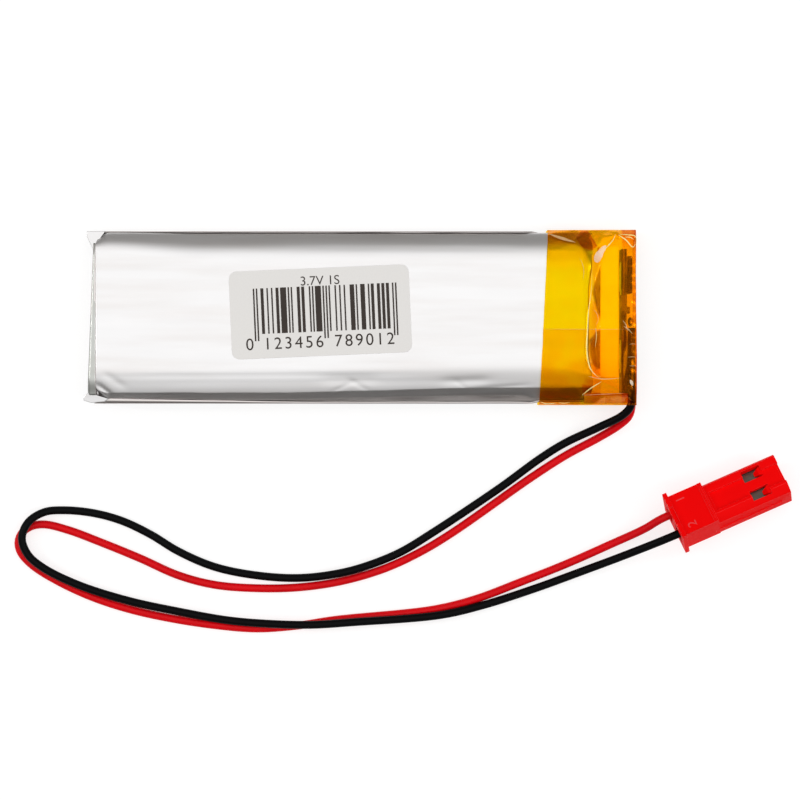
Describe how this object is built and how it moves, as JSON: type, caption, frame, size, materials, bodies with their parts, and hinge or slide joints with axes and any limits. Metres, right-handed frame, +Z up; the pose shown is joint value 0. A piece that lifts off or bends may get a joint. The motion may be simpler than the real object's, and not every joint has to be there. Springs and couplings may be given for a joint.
{
  "type": "lipo battery pack",
  "caption": "Flat silver pouch battery with an amber taped terminal end, a barcode label, and red and black leads to a red wire connector.",
  "frame": {"origin": "under the middle of the pack without its leads, on the surface that it lies on", "axes": "+X along the pack towards its taped terminal end, +Y across it, away from the leads' side, +Z up through its thickness"},
  "size_m": [0.0903, 0.0469, 0.0071],
  "materials": {
    "laminate": "satin aluminium laminate film",
    "copper_foil": "copper foil with a dark coating",
    "cathode_foil": "coated aluminium foil",
    "separator": "thin white film",
    "aluminium_tab": "bright sheet",
    "nickel": "nickel plate",
    "seal_film": "black sealing film",
    "green_tape": "thin green tape",
    "insulation": "pale fibre strip",
    "circuit_board": "solder mask on glass fibre",
    "chip_plastic": "moulded package",
    "ceramic": "fired ceramic",
    "solder": "bright solder",
    "polyimide": "amber translucent film, glossy",
    "label_paper": "matt coated paper",
    "red_insulation": "smooth flexible insulation",
    "black_insulation": "smooth flexible insulation",
    "red_nylon": "moulded nylon, slightly glossy"
  },
  "bodies": {
    "root": {"pouch_cup": "laminate", "pouch_back_sheet": "laminate", "cathode_foil": "cathode_foil", "anode_foil": "copper_foil", "inner_separator": "separator", "outer_separator": "separator", "roll_tape": "green_tape", "positive_tab": "aluminium_tab", "negative_tab": "nickel", "positive_tab_film": "seal_film", "negative_tab_film": "seal_film", "positive_weld_plate": "nickel", "negative_weld_plate": "nickel", "protection_board": "circuit_board", "insulating_strip": "insulation", "mosfet_pair": "chip_plastic", "protection_chip": "chip_plastic", "sense_resistor": "ceramic", "filter_capacitor": "ceramic", "positive_solder_joint": "solder", "negative_solder_joint": "solder", "polyimide_tape": "polyimide", "barcode_label": "label_paper", "black_lead": "black_insulation", "red_lead": "red_insulation", "connector_housing": "red_nylon", "positive_contact": "nickel", "negative_contact": "nickel"}
  },
  "joints": []
}
